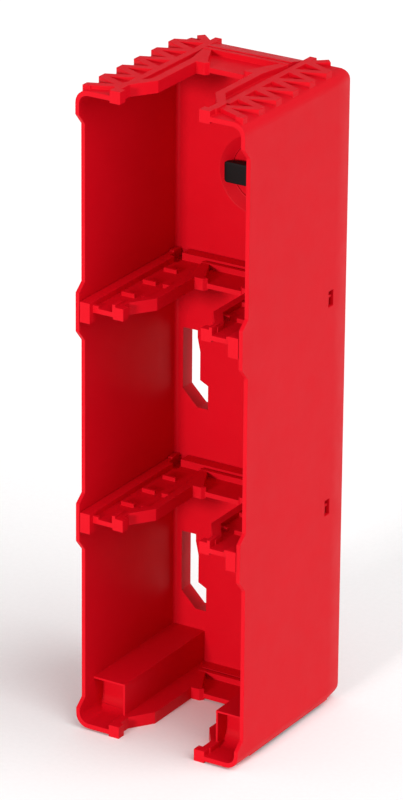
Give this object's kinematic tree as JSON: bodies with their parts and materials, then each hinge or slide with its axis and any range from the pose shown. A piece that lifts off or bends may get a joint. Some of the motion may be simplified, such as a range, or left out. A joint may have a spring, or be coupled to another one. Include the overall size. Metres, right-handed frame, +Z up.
{
  "type": "power tool battery rack",
  "caption": "Upright open-fronted moulded rack with stacked bays, slotted snap-in shelves for slide-on tool batteries and a turning lock in its back.",
  "frame": {"origin": "bottom centre of the bounding box, on the plane of the lowest rail edges", "axes": "+Z up, -Y out of the open front towards the user, +X to the user's right"},
  "size_m": [0.11, 0.1174, 0.3961],
  "materials": {
    "red_plastic": "fine satin texture",
    "black_plastic": "fine texture",
    "zinc_steel": "zinc plated",
    "spring_steel": "bright rolled"
  },
  "bodies": {
    "rack": {"rack_body": "red_plastic", "upper_shelf": "red_plastic", "lower_shelf": "red_plastic", "upper_shelf_screw_left": "zinc_steel", "upper_shelf_screw_right": "zinc_steel", "lower_shelf_screw_left": "zinc_steel", "lower_shelf_screw_right": "zinc_steel", "wave_washer": "spring_steel", "thrust_washer": "zinc_steel"},
    "lock": {"lock_knob": "black_plastic", "lock_cam": "zinc_steel", "lock_washer": "spring_steel", "lock_screw": "zinc_steel"}
  },
  "joints": [
    {"name": "lock_turn", "type": "hinge", "parent": "rack", "child": "lock", "pos_m": [0, 0.04995, 0.3209], "axis": [0, 1, 0], "range_deg": [0, 90]}
  ]
}
